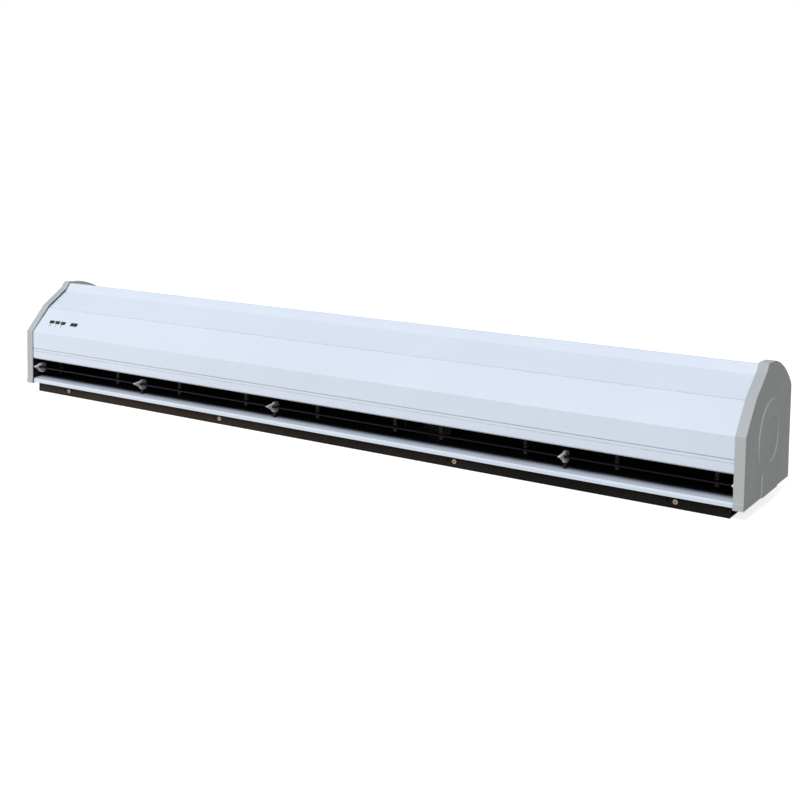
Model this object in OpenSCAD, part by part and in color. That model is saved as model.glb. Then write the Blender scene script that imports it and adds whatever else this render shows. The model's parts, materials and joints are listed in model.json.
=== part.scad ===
// Air curtain: a long fan unit that blows a sheet of air across a doorway.
// It lies on its wall plate, as photographed. X runs along the unit, the air leaves
// towards -Y, and Z points away from the wall. Profiles are drawn in the plane across
// the unit, as [distance behind the caps' front, height above the caps' bottom].

/* [Overall] */
// Length over the flat faces of the two end caps
body_length = 1500; // [1440:10:1700]
// Depth of the end caps, front to back
cap_depth = 228; // [226:1:240]
// Height of the end caps
cap_height = 200; // [199:1:206]
// Drop of the wall plate below the end caps
plate_drop = 16.5; // [14:0.5:20]
// Running gap between pieces that move past each other
gap = 0.3; // [0.2:0.05:0.4]

/* [End caps] */
// Width of a cap along the unit
cap_width = 16; // [15:0.5:20]
// Wall of a moulded cap
cap_wall = 2.2; // [1.6:0.1:3]
// Height of the vertical front of a cap
front_height = 108; // [104:1:112]
// Height of the foot at the bottom of the front
foot_height = 10; // [6:1:12]
// Step of the foot in front of the cap's front
foot_step = 1; // [0.5:0.1:1.4]
// Distance of the shoulder behind the front
shoulder_back = 45; // [43:1:47]
// Height of the shoulder
shoulder_height = 157; // [155:1:159]
// Distance of the brow behind the front
brow_back = 93; // [91:1:94]
// Height of the brow
brow_height = 188; // [186:1:189]
// Distance of the crest behind the front
crest_back = 102; // [101:1:104]
// Distance behind the front at which the crown starts to fall
crown_start = 139; // [134:1:142]
// Radius of the crown
crown_radius = 165; // [140:5:190]
// Height at which the crown meets the back
rear_height = 146; // [142:1:150]
// Outer radius of the raised ring, at the cap's face
ring_outer = 61.5; // [56:0.5:63]
// Inner radius of the raised ring
ring_inner = 35.5; // [32:0.5:40]
// Half the width of the raised band below the ring
ring_band = 38; // [34:0.5:42]
// Height of the ring over the cap's face
ring_raise = 2; // [1:0.5:3]
// Width of the slanted edges of the ring and the band
ring_bevel = 1.5; // [1:0.5:5]

/* [Cover] */
// Thickness of the cover's sheet
cover_sheet = 1.5; // [1:0.1:2]
// Depth of the two lower faces below the cap's edge
face_inset = 2.2; // [1.6:0.1:3]
// Depth of the two upper faces below the cap's edge
brow_inset = 4.4; // [3.6:0.1:5]
// Width of the groove between two panels
groove = 1.4; // [1:0.1:2]
// Depth of the turned edge along each panel
hem = 8; // [6:0.5:9]
// Height of the groove over the outlet lip
lip_groove_height = 73; // [71:0.5:75]

/* [Outlet] */
// Height of the outlet's upper edge
outlet_top = 51.5; // [50:0.5:54]
// Height of the lower lip's front edge
outlet_floor = 10; // [9:0.5:11]
// Height of the lower lip's bottom edge
lip_bottom = 2.4; // [2:0.1:3]
// Depth of the lower lip, front to back
lip_depth = 38; // [32:1:44]
// Thickness of the outlet lips
lip_wall = 1.6; // [1.2:0.1:2]
// Height of the fine line along the upper lip
lip_line_height = 67.5; // [64:0.5:69]
// Depth of the outlet's ceiling, front to back
ceiling_depth = 60; // [58:1:62]
// Width of a duct post
post_width = 6.5; // [5.5:0.5:10]
// Depth of a duct post
post_depth = 4.5; // [4:0.5:6]
// Distance of the first duct post on the left from the end cap
left_post_inset = 16; // [12:1:60]
// Distance of the last duct post on the right from the end cap
right_post_inset = 43.5; // [20:0.5:80]
// Duct posts left of the motor
left_posts = 6; // [4:1:6]
// Duct posts right of the motor
right_posts = 4; // [2:1:4]

/* [Vane] */
// Distance of the vane's axis behind the front
vane_back = 25.5; // [24:0.5:28]
// Height of the vane's axis
vane_height = 30; // [29:0.5:31]
// Tilt of the vane at rest, front edge up
vane_tilt = 11; // [4:1:16]
// Width of the blade in front of its axis
blade_front = 12; // [10:0.5:13]
// Width of the blade behind its axis
blade_rear = 31; // [26:0.5:32]
// Thickness of the blade at its axis
blade_thickness = 4.2; // [3:0.1:5]
// Thickness of the blade's front edge
blade_nose = 1.8; // [1:0.1:2.4]
// Radius of a lever's hub
lever_radius = 10; // [9:0.5:11]
// Length of a lever's nose from its axis
lever_nose = 25; // [20:0.5:25]
// Width of a lever along the vane
lever_width = 5; // [4:0.5:7]
// Width of an end holder along the vane
holder_width = 8; // [6:0.5:10]
// Length of an end holder's nose from its axis
holder_nose = 20; // [16:0.5:20]
// Distance of the left lever from the left end cap
left_lever_inset = 287; // [240:1:320]
// Distance of the right lever from the right end cap
right_lever_inset = 275; // [240:1:320]
// Place of the middle lever along the unit
middle_lever = -119; // [-160:1:20]

/* [Fan] */
// Distance of the fan's axis behind the front
fan_back = 122.5; // [122:0.5:126]
// Height of the fan's axis
fan_height = 82.5; // [81:0.5:84]
// Outer radius of the impellers
fan_radius = 50; // [47:0.5:51]
// Inner radius of the blade ring
blade_ring_inner = 39; // [36:0.5:41]
// Blades of an impeller
fan_blades = 24; // [18:1:30]
// Thickness of an impeller disc
disc_thickness = 2; // [1.5:0.1:3]
// Radius of the shafts
shaft_radius = 5; // [4:0.1:6]
// Running clearance round the shafts
shaft_clearance = 0.05; // [0.02:0.01:0.1]
// Place of the motor along the unit
motor_x = 164; // [140:1:175]
// Length of the motor's bay
motor_bay = 93; // [86:1:100]
// Radius of the motor's band
motor_radius = 46; // [40:0.5:48]
// Width of the motor's band
motor_band_width = 52; // [44:1:56]

/* [Controls] */
// Width of a push button
button_width = 12; // [10:0.5:13]
// Height of a push button
button_height = 6.5; // [4.5:0.5:7]
// Distance between push buttons
button_pitch = 16; // [15.5:0.5:18]
// Distance of the left push button from the end cap
button_inset = 35; // [34:1:44]
// Place of the buttons up the lower slope
button_rise = 29; // [22:1:34]
// Travel of a push button
button_travel = 1.2; // [0.6:0.1:1.5]
// Height of a button over the panel
button_proud = 1; // [0.8:0.1:1.8]
// Width of the receiver window
window_width = 19; // [14:0.5:22]
// Height of the receiver window
window_height = 7.5; // [5:0.5:8]

/* [Wall plate] */
// Thickness of the wall plate's steel
plate_wall = 2; // [1.5:0.1:2.5]
// Distance of the plate's front behind the caps' front
plate_front = 12; // [10:0.5:13]
// Depth of the wall plate, front to back
plate_depth = 190; // [180:1:200]
// Distance of the plate's ends from the caps' faces
plate_end = 23; // [20:1:40]
// Radius of the wall plate's fixing holes
anchor_radius = 4.5; // [3:0.1:6]
// Distance between the fixing holes along the unit
anchor_pitch_x = 1100; // [900:10:1200]
// Distance between the two rows of fixing holes
anchor_pitch_y = 100; // [80:1:120]
// Distance of the first fixing screw from the plate's left end
left_screw_inset = 89; // [60:1:110]
// Distance of the last fixing screw from the plate's right end
right_screw_inset = 82; // [60:1:110]
// Distance between the two fixing screws on the left half
left_screw_pitch = 399; // [340:1:410]
// Distance between the two fixing screws on the right half
right_screw_pitch = 379; // [340:1:410]
// Radius of the fixing screws' shanks
plate_screw_radius = 2; // [1.6:0.1:2.4]
// Radius of the fixing screws' heads
plate_head_radius = 4.2; // [3.2:0.1:4.5]

/* [Housing] */
// Thickness of the housing's steel
steel = 1.5; // [1:0.1:2]
// Height of the housing's back wall
back_wall = 85; // [78:1:92]
// Length of a slot in the intake grille
slot_length = 84; // [60:1:90]
// Width of a slot in the intake grille
slot_width = 6; // [4:0.5:7]
// Steel left between two slots
slot_bar = 4; // [3:0.5:6]
// Radius of the cable inlet's bore
inlet_radius = 5; // [4:0.1:6]
// Distance of the cable inlet from the end cap
inlet_inset = 94; // [80:2:170]

/* [Hidden] */
$fn = 48;

// Colours
cover_white = "#dfe6f0";
cap_grey = "#b4b8b6";
rail_brown = "#2c2420";
duct_black = "#1c1c1e";
vane_black = "#26262c";
zinc = "#b9bcc0";
brass = "#b08a48";
rubber_black = "#202020";
button_black = "#141416";
knob_white = "#e8e8ea";

// Ends of the pieces along the unit
half_length = body_length / 2;
cap_inner = half_length - cap_width;
cover_end = cap_inner - gap;
side_sheet = 2;
side_recess = 6;
side_outer = cap_inner + side_recess;
side_inner = side_outer - side_sheet;
duct_end = side_inner - gap;

lever_places = [left_lever_inset - cap_inner, middle_lever, cap_inner - right_lever_inset];
button_x = button_inset - cap_inner;
inlet_x = inlet_inset - cap_inner;

// ---- Profile geometry ----

// Unit vector along a vector
function unit(v) = v / norm(v);

// Unit normal on the right of the way from a to b
function right_of(a, b) = let (d = unit(b - a)) [d[1], -d[0]];

// Point where the line through p along d meets the line through q along e
function meet(p, d, q, e) =
    let (w = q - p)
    p + d * ((w[0] * e[1] - w[1] * e[0]) / (d[0] * e[1] - d[1] * e[0]));

// A path moved to its right, by one distance or by one for each stretch
function shifted(path, by) =
    let (n = len(path) - 1)
    [for (i = [0 : n])
        let (a = i > 0 ? right_of(path[i - 1], path[i]) : [0, 0],
             b = i < n ? right_of(path[i], path[i + 1]) : [0, 0],
             da = i > 0 ? (is_list(by) ? by[i - 1] : by) : 0,
             db = i < n ? (is_list(by) ? by[i] : by) : 0)
        i == 0 ? path[0] + b * db :
        i == n ? path[n] + a * da :
        norm(a - b) < 0.001 ? path[i] + b * db :
        meet(path[i - 1] + a * da, path[i] - path[i - 1], path[i] + b * db, path[i + 1] - path[i])];

function reversed(list) = [for (i = [len(list) - 1 : -1 : 0]) list[i]];

// Outline of a bent sheet: a path and its own copy on the right
function sheet(path, wall) = concat(path, reversed(shifted(path, wall)));

// Points on an arc of radius r from a to b, bulging to the left of the way
function arc_between(a, b, r, n) =
    let (s = unit(b - a),
         half = norm(b - a) / 2,
         c = (a + b) / 2 + [s[1], -s[0]] * sqrt(r * r - half * half),
         a0 = atan2(a[1] - c[1], a[0] - c[0]),
         a1 = atan2(b[1] - c[1], b[0] - c[0]))
    [for (i = [0 : n]) let (t = a0 + (a1 - a0) * i / n) c + r * [cos(t), sin(t)]];

// Point on a circle round the fan's axis
function round_fan(r, angle) = [fan_back, fan_height] + r * [cos(angle), sin(angle)];

// Outline of a cap, clockwise from its front bottom corner
cap_front = [
    [0, 0], [0, foot_height], [foot_step, foot_height + foot_step],
    [foot_step, front_height], [shoulder_back, shoulder_height],
    [brow_back, brow_height], [crest_back, cap_height]
];
crown_drop = 1.5;
rear_round = 6;
crown = arc_between([crown_start, cap_height - crown_drop],
                    [cap_depth - rear_round * 0.6, rear_height + rear_round],
                    crown_radius, 8);
cap_outline = concat(cap_front, crown, [[cap_depth, rear_height], [cap_depth, 0]]);
cap_cavity = let (inner = shifted(cap_outline, cap_wall), n = len(inner) - 1)
    [for (i = [0 : n]) i == 0 || i == n ? [inner[i][0], cap_wall] : inner[i]];

// Outer face of the cover, from the outlet up to the crest
cover_face = shifted(
    [[foot_step, lip_bottom], [foot_step, front_height], [shoulder_back, shoulder_height],
     [brow_back, brow_height], [crest_back, cap_height], [crown_start, cap_height]],
    [face_inset, face_inset, brow_inset, brow_inset * 0.65, brow_inset * 0.65]);
face_u = cover_face[0][0];
crease = cover_face[1];
brow = cover_face[3];
crest = cover_face[4];
// The groove between the two panels runs just behind the shoulder
groove_back = 1;
slope_top = meet(brow, brow - cover_face[2], [shoulder_back + groove_back, 0], [0, 1]);

// The lower slope, which carries the buttons
slope_dir = unit(slope_top - crease);
slope_angle = atan2(slope_dir[1], slope_dir[0]);
slope_in = [slope_dir[1], -slope_dir[0]];
seam = slope_top - slope_dir * groove;
upper_in = right_of(slope_top, brow);

// Edge of the cover behind the crest, where the intake grille starts
top_ledge = 6;
grille_start = crest[0] + top_ledge + gap;
grille_drop = 9;

// ---- Modules that place things ----

// Draws a profile as a bar along the unit, from x0 to x1
module along_x(x0, x1) {
    translate([x0, 0, 0]) rotate([90, 0, 90]) linear_extrude(x1 - x0) children();
}

// A profile as long as the unit, from -x1 to x1
module full_width(x1) {
    along_x(-x1, x1) children();
}

// Moves the profile's frame to the middle of the wall plate's bottom
module placed() {
    translate([0, -cap_depth / 2, plate_drop]) children();
}

// A copy of what is drawn for the right end, at the left end
module at_end(side) {
    if (side < 0) mirror([1, 0, 0]) children();
    else children();
}

// Frame of the lower slope: X along the unit, Y up the slope, Z outwards
module on_slope(x, rise) {
    translate([x, crease[0], crease[1]]) rotate([slope_angle, 0, 0]) translate([0, rise, 0]) children();
}

// Frame of the vane: turned to its tilt about its own axis
module on_vane() {
    translate([vane_back, vane_height]) rotate(-vane_tilt) children();
}

// Cylinder along X with its start at x0
module rod(x0, x1, radius, at) {
    translate([x0, at[0], at[1]]) rotate([0, 90, 0]) cylinder(h = x1 - x0, r = radius);
}

// Rounded rectangle with its centre at the origin
module rounded(w, h, r) {
    square([w - 2 * r, h], center = true);
    square([w, h - 2 * r], center = true);
    for (x = [-1, 1], y = [-1, 1]) translate([x * (w / 2 - r), y * (h / 2 - r)]) circle(r);
}

fan_axis = [fan_back, fan_height];
vane_axis = [vane_back, vane_height];

// ---- End caps ----

ring_at = fan_axis;
boss_radius = 4.5;
boss_hole = 1.4;
boss_places = [[24, front_height - 12], [cap_depth - 38, 26], [crown_start + 11, cap_height - 28]];

// Raised ring on the cap's face, with the band that runs down from it
module cap_ring() {
    difference() {
        union() {
            translate([half_length, ring_at[0], ring_at[1]]) rotate([0, 90, 0])
                cylinder(h = ring_raise, r1 = ring_outer, r2 = ring_outer - ring_bevel);
            linear_extrude(ring_at[1]) polygon([
                [half_length - cap_wall / 2, ring_at[0] - ring_band - ring_bevel],
                [half_length, ring_at[0] - ring_band - ring_bevel],
                [half_length + ring_raise, ring_at[0] - ring_band],
                [half_length + ring_raise, ring_at[0] + ring_band],
                [half_length, ring_at[0] + ring_band + ring_bevel],
                [half_length - cap_wall / 2, ring_at[0] + ring_band + ring_bevel]
            ]);
        }
        translate([half_length, ring_at[0], ring_at[1]]) rotate([0, 90, 0])
            cylinder(h = ring_raise + 0.01, r1 = ring_inner - ring_bevel, r2 = ring_inner);
        translate([half_length + ring_raise, ring_at[0], ring_at[1]]) rotate([0, 90, 0])
            cylinder(h = 1, r = ring_inner);
    }
}

module end_cap(side) {
    color(cap_grey) placed() at_end(side) difference() {
        union() {
            difference() {
                along_x(cap_inner, half_length) polygon(cap_outline);
                along_x(cap_inner - 1, half_length - cap_wall) polygon(cap_cavity);
            }
            cap_ring();
            for (at = boss_places) rod(side_outer + 0.1, half_length - 0.5, boss_radius, at);
        }
        for (at = boss_places) rod(side_outer - 1, half_length - 2 * cap_wall, boss_hole, at);
    }
}
module left_end_cap() { end_cap(-1); }
module right_end_cap() { end_cap(1); }

cap_screw_radius = 1.35;
cap_screw_head = 3.2;
cap_screw_end = half_length - 2 * cap_wall - gap;
module cap_screws() {
    color(zinc) placed() for (side = [-1, 1], at = boss_places) at_end(side) {
        rod(side_inner - 2, side_inner, cap_screw_head, at);
        rod(side_inner - 1, cap_screw_end, cap_screw_radius, at);
    }
}

// ---- Cover ----

upper_panel_path = [
    slope_top + slope_in * hem, slope_top, brow, crest,
    crest + [top_ledge, 0], crest + [top_ledge, -grille_drop - hem]
];
module upper_front_panel() {
    color(cover_white) placed() difference() {
        full_width(cover_end) polygon(sheet(upper_panel_path, cover_sheet));
        grille_screw_holes(grille_screw_radius);
    }
}

// Depth of a lip's nose, and of the hem under the lower panel
lip_nose = 4;
lower_panel_path = [
    [face_u + lip_nose, lip_groove_height + groove / 2], [face_u, lip_groove_height + groove / 2],
    crease, seam, seam + slope_in * hem
];
button_clear = 0.4;
window_x = button_x + 2 * button_pitch + 31;
module lower_front_panel() {
    color(cover_white) placed() difference() {
        full_width(cover_end) polygon(sheet(lower_panel_path, cover_sheet));
        for (i = [0 : 2]) on_slope(button_x + i * button_pitch, button_rise)
            translate([0, 0, -3 * cover_sheet]) linear_extrude(6 * cover_sheet)
                rounded(button_width + 2 * button_clear, button_height + 2 * button_clear, 1.2);
        on_slope(window_x, button_rise)
            translate([0, 0, -3 * cover_sheet]) linear_extrude(6 * cover_sheet)
                rounded(window_width + 2 * gap, window_height + 2 * gap, 1.2);
    }
}

// ---- Outlet lips and duct ----

lip_round = 2.2;
ceiling_rise = 6;
floor_rise = 2;
duct_floor = outlet_floor + floor_rise;
ceiling_end = [ceiling_depth, outlet_top + ceiling_rise];

upper_lip_path = [
    ceiling_end, [face_u + lip_round, outlet_top], [face_u, outlet_top + lip_round],
    [face_u, lip_groove_height - groove / 2], [face_u + hem, lip_groove_height - groove / 2]
];
lower_lip_path = [
    [plate_front + plate_wall, lip_bottom], [face_u, lip_bottom],
    [face_u, outlet_floor - lip_round], [face_u + lip_round, outlet_floor], [lip_depth, duct_floor]
];

// A lip: its nose ends at the caps and the rest runs into them, up to the side plates
module lip(path) {
    full_width(cover_end) polygon(sheet(path, lip_wall));
    full_width(duct_end) difference() {
        polygon(sheet(path, lip_wall));
        square([face_u + lip_nose, front_height]);
    }
}

line_width = 1;
line_depth = 0.6;
module outlet_upper_lip() {
    color(cover_white) placed() difference() {
        lip(upper_lip_path);
        full_width(half_length) translate([face_u - 1, lip_line_height - line_width / 2])
            square([1 + line_depth, line_width]);
    }
}
module outlet_lower_lip() {
    color(cover_white) placed() lip(lower_lip_path);
}

// The wall between outlet and intake, close to the impellers
tongue_gap = 5;
tongue_wall = 1.2;
tongue_top = 0.3;
tongue_start = 200;
tongue_end = 155;
tongue_flare = 0.12;
tongue_path = concat(
    [ceiling_end + [tongue_wall, 0]],
    [for (a = [tongue_start : -15 : tongue_end])
        round_fan(fan_radius + tongue_gap + (tongue_start - a) * tongue_flare, a)],
    [slope_top + (brow - slope_top) * tongue_top + upper_in * (cover_sheet + gap + tongue_wall)]);
module vortex_tongue() {
    color(duct_black) placed() full_width(duct_end)
        polygon(concat(tongue_path, reversed(shifted(tongue_path, -tongue_wall))));
}

// The curved guide under and behind an impeller
guide_gap = 6;
guide_end = 35;
guide_steps = 12;
guide_start_radius = fan_height - duct_floor;
guide_end_radius = fan_radius + guide_gap;
guide_path = concat(
    [[lip_depth + gap, duct_floor]],
    [for (i = [0 : guide_steps])
        let (a = -90 + (90 + guide_end) * i / guide_steps)
        round_fan(guide_start_radius + (guide_end_radius - guide_start_radius) * i / guide_steps, a)],
    [round_fan(guide_end_radius + 8, guide_end)]);
bay_left = motor_x - motor_bay / 2;
bay_right = motor_x + motor_bay / 2;
bay_wall = 1.5;
module air_guide(x0, x1) {
    color(duct_black) placed() along_x(x0, x1) polygon(sheet(guide_path, tongue_wall));
}
module left_air_guide() { air_guide(-duct_end, bay_left - gap); }
module right_air_guide() { air_guide(bay_right + gap, duct_end); }

post_front = ceiling_depth + gap;
module post(x) {
    difference() {
        along_x(x - post_width / 2, x + post_width / 2)
            translate([post_front, duct_floor + 0.1])
                square([post_depth, outlet_top + ceiling_rise - duct_floor - 0.2]);
        along_x(x - post_width / 2 + 1.5, x + post_width / 2 - 1.5)
            translate([post_front + 1.5, duct_floor - 1])
                square([post_depth, outlet_top + ceiling_rise]);
    }
}
module duct_posts() {
    color("#5a4a3c") placed() {
        for (i = [0 : left_posts - 1])
            post(bay_left - i * (bay_left + cap_inner - left_post_inset) / (left_posts - 1));
        for (i = [0 : right_posts - 1])
            post(bay_right + i * (cap_inner - right_post_inset - bay_right) / (right_posts - 1));
    }
}

// ---- Side plates ----

side_clear = cover_sheet + gap;
side_front = face_u + lip_nose + gap;
housing_base = lip_bottom + steel;
grille_top = crest[1] - grille_drop;
grille_back = cap_depth - face_inset - 0.4;
grille_path = [
    [grille_start, grille_top - hem], [grille_start, grille_top],
    [crown_start, grille_top], [grille_back - 3, rear_height - 2],
    [grille_back, rear_height - 6], [grille_back, back_wall + gap]
];
side_outline = concat(
    [[side_front, housing_base + gap], [side_front, crease[1]]],
    [for (p = [seam, slope_top]) p + slope_in * (side_clear + hem) + [2, 0]],
    [brow + [side_clear, -side_clear], crest + [side_clear, -grille_drop - hem - 2]],
    [[grille_start + 4, grille_top - steel - gap - 6]],
    [for (i = [2 : 4]) shifted(grille_path, steel + gap)[i]],
    [[grille_back - steel - gap, housing_base + gap]]);
pivot_radius = 3;
module side_plate(side) {
    color(zinc) placed() at_end(side) difference() {
        along_x(side_inner, side_outer) polygon(side_outline);
        rod(side_inner - 1, side_outer + 1, pivot_radius + shaft_clearance, vane_axis);
        rod(side_inner - 1, side_outer + 1, seat_radius + 0.1, fan_axis);
        for (at = boss_places) rod(side_inner - 1, side_outer + 1, cap_screw_radius + 0.2, at);
    }
}
module left_side_plate() { side_plate(-1); }
module right_side_plate() { side_plate(1); }

// ---- Housing, intake grille and wall plate ----

flange_drop = 11;
flange_reach = 10;
plate_flange_at = plate_front + plate_wall + gap;
panel_back = grille_back - steel;
module base_plate() {
    color(cover_white) placed() full_width(cover_end)
        translate([plate_flange_at, housing_base - steel]) square([grille_back - plate_flange_at, steel]);
}

inlet_height = 58;
grommet_seat = inlet_radius + 4;
module back_panel() {
    color(cover_white) placed() difference() {
        union() {
            full_width(cover_end) translate([panel_back, housing_base + 0.1])
                square([steel, back_wall - housing_base - 0.1]);
            full_width(duct_end) translate([grille_back - flange_reach, back_wall - steel])
                square([flange_reach, steel]);
        }
        translate([inlet_x, panel_back - steel, inlet_height]) rotate([-90, 0, 0])
            cylinder(h = 3 * steel, r = grommet_seat);
    }
}

// Steel angle under the base plate, which the fixing screws go through
screw_height = -6;
module fixing_angle() {
    color(zinc) placed() difference() {
        full_width(plate_half) translate([plate_flange_at, housing_base - steel - 0.1 - flange_drop])
            difference() {
                square([flange_reach, flange_drop]);
                translate([steel, -steel]) square([flange_reach, flange_drop]);
            }
        for (x = plate_screw_places) translate([x, plate_flange_at - 1, screw_height])
            rotate([-90, 0, 0]) cylinder(h = steel + 2, r = plate_screw_radius + 0.1);
    }
}

slot_pitch = slot_length + 8;
slot_columns = floor((2 * cover_end - 20) / slot_pitch);
slot_row = slot_width + slot_bar;
// Slots over one face of the grille, from a to b across the unit
module slots(a, b) {
    reach = norm(b - a);
    rows = floor((reach - slot_bar) / slot_row);
    margin = (reach - rows * slot_row + slot_bar) / 2;
    translate([0, a[0], a[1]]) rotate([atan2(b[1] - a[1], b[0] - a[0]), 0, 0])
        translate([0, 0, -3 * steel]) linear_extrude(6 * steel)
            for (i = [0 : slot_columns - 1], j = [0 : rows - 1])
                translate([(i - (slot_columns - 1) / 2) * slot_pitch - slot_length / 2,
                           margin + j * slot_row])
                    square([slot_length, slot_width]);
}
module intake_grille() {
    color(cover_white) placed() difference() {
        full_width(cover_end) polygon(sheet(grille_path, steel));
        slots(grille_path[1] + [4, 0], grille_path[2]);
        slots(grille_path[2], grille_path[3]);
        slots(grille_path[4], grille_path[5] + [0, 6]);
        grille_screw_holes(grille_screw_radius + 0.2);
    }
}

grille_screw_places = [for (i = [-2 : 2]) i * (cover_end - 40) / 2];
grille_screw_height = grille_top - hem + 3.2;
grille_screw_radius = 1.5;
grille_screw_head = 2.8;
module grille_screw_holes(radius) {
    for (x = grille_screw_places) translate([x, grille_start, grille_screw_height])
        rotate([-90, 0, 0]) cylinder(h = 8, r = radius, center = true);
}
module grille_screws() {
    color(zinc) placed() for (x = grille_screw_places)
        translate([x, grille_start + steel, grille_screw_height]) rotate([-90, 0, 0]) {
            cylinder(h = 1.8, r = grille_screw_head);
            translate([0, 0, -steel - 5]) cylinder(h = steel + 6, r = grille_screw_radius - 0.05);
        }
}

plate_half = half_length - plate_end;
first_screw = left_screw_inset - plate_half;
last_screw = plate_half - right_screw_inset;
plate_screw_places = [
    first_screw, first_screw + left_screw_pitch, last_screw - right_screw_pitch, last_screw
];
plate_top = lip_bottom - gap;
plate_mid = plate_front + plate_depth / 2;
plate_path = [
    [plate_front + plate_depth, plate_top], [plate_front + plate_depth, -plate_drop],
    [plate_front, -plate_drop], [plate_front, plate_top]
];
spare_hole_offset = 13;
module wall_plate() {
    color(rail_brown) placed() difference() {
        full_width(plate_half) polygon(sheet(plate_path, plate_wall));
        for (x = [-1, 0, 1], y = [-1, 1])
            translate([x * anchor_pitch_x / 2, plate_mid + y * anchor_pitch_y / 2, -plate_drop - 1])
                cylinder(h = plate_wall + 2, r = anchor_radius);
        for (x = plate_screw_places, dx = [0, -spare_hole_offset])
            translate([x + dx, plate_front - 1, screw_height]) rotate([-90, 0, 0])
                cylinder(h = plate_wall + 2, r = plate_screw_radius + 0.1);
    }
}

plate_head_height = 2;
plate_screw_length = 9;
module plate_screws() {
    color(brass) placed() for (x = plate_screw_places)
        translate([x, plate_front, screw_height]) rotate([90, 0, 0]) {
            difference() {
                cylinder(h = plate_head_height, r = plate_head_radius);
                translate([0, 0, plate_head_height]) cube([4, 1, 2], center = true);
                translate([0, 0, plate_head_height]) cube([1, 4, 2], center = true);
            }
            translate([0, 0, -plate_screw_length]) cylinder(h = plate_screw_length, r = plate_screw_radius);
        }
}

// ---- Vane ----

holder_web = 3;
blade_end = duct_end - holder_web - gap;
blade_edge = 0.8;

// Upper half of the blade's outline in front of its axis, or of its slot with a clearance
function blade_front_half(fit) = [
    [-blade_front - fit, blade_nose / 2 + fit],
    [-blade_front * 0.6, blade_thickness * 0.42 + fit],
    [0, blade_thickness / 2 + fit]
];

// An upper half with its mirror image below
function both_halves(top) = concat(top, [for (p = reversed(top)) [p[0], -p[1]]]);

blade_outline = both_halves(concat(blade_front_half(0), [
    [blade_rear * 0.5, blade_thickness * 0.36], [blade_rear, blade_edge / 2]
]));
module air_vane() {
    color(vane_black) placed() full_width(blade_end) on_vane() polygon(blade_outline);
}

lever_fit = 0.2;
slot_flare = 1.2;
slot_outline = both_halves(concat(blade_front_half(lever_fit), [
    [lever_radius + 1, blade_thickness / 2 + lever_fit + slot_flare]
]));
nose_root = 8.2;
nose_tip = 0.9;
// Side view of a lever: a round hub with a pointed nose of a length
module lever_outline(nose) {
    circle(lever_radius);
    polygon([[-nose + nose_tip, -nose_tip], [0, -nose_root],
             [0, nose_root], [-nose + nose_tip, nose_tip]]);
    translate([-nose + nose_tip, 0]) circle(nose_tip);
}
// The same, slotted from behind for the blade
module lever_shape(nose) {
    difference() {
        lever_outline(nose);
        polygon(slot_outline);
    }
}
module vane_lever(i) {
    color(knob_white) placed()
        along_x(lever_places[i] - lever_width / 2, lever_places[i] + lever_width / 2)
            on_vane() lever_shape(lever_nose);
}
module vane_lever_left() { vane_lever(0); }
module vane_lever_middle() { vane_lever(1); }
module vane_lever_right() { vane_lever(2); }

// Holder at the vane's end: a lever's shape over the blade, a plain web and a pivot pin
module vane_holder(side) {
    color(knob_white) placed() at_end(side) {
        along_x(duct_end - holder_width, duct_end - holder_web) on_vane() lever_shape(holder_nose);
        along_x(duct_end - holder_web, duct_end) on_vane() lever_outline(holder_nose);
        rod(duct_end - 1, side_outer + 1, pivot_radius, vane_axis);
    }
}
module vane_holder_left() { vane_holder(-1); }
module vane_holder_right() { vane_holder(1); }

// Dark posts that carry the levers' hubs from the lower lip
rest_half_angle = 20;
rest_half_width = (lever_radius + gap) * sin(rest_half_angle);
module vane_rests() {
    color(duct_black) placed() for (x = lever_places)
        along_x(x - lever_width / 2, x + lever_width / 2) difference() {
            polygon([[vane_back - rest_half_width, floor_at(vane_back - rest_half_width)],
                     [vane_back + rest_half_width, floor_at(vane_back + rest_half_width)],
                     [vane_back + rest_half_width, vane_height - 5],
                     [vane_back - rest_half_width, vane_height - 5]]);
            translate(vane_axis) circle(lever_radius + gap);
        }
}
// Height of the lower lip's top at a distance behind the front
function floor_at(u) =
    outlet_floor + floor_rise * (u - face_u - lip_round) / (lip_depth - face_u - lip_round);

// ---- Motor ----

ring_bore = 16;
ring_radius = 24;
band_half = motor_band_width / 2;
motor_half = motor_bay / 2 - bay_wall - 2;
bracket_radius = fan_radius + 3;
bracket_foot = 60;
split_gap = 0.2;
half_space = 3 * bracket_radius;

// Wall of the motor bay below or above the fan's axis
module bay_wall_shape(upper) {
    difference() {
        union() {
            translate(fan_axis) circle(bracket_radius);
            if (!upper) translate([fan_back - bracket_foot / 2, housing_base + gap + steel])
                square([bracket_foot, fan_height]);
        }
        translate(fan_axis) circle(ring_radius + gap);
        translate([fan_back - half_space / 2, upper ? fan_height - half_space + split_gap : fan_height])
            square(half_space);
    }
}
module motor_bracket() {
    color(zinc) placed() {
        for (x = [bay_left, bay_right - bay_wall]) along_x(x, x + bay_wall) bay_wall_shape(false);
        along_x(bay_left, bay_right)
            translate([fan_back - bracket_foot / 2, housing_base + gap]) square([bracket_foot, steel]);
    }
}
module motor_clamps() {
    color(zinc) placed() for (x = [bay_left, bay_right - bay_wall])
        along_x(x, x + bay_wall) bay_wall_shape(true);
}

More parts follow.
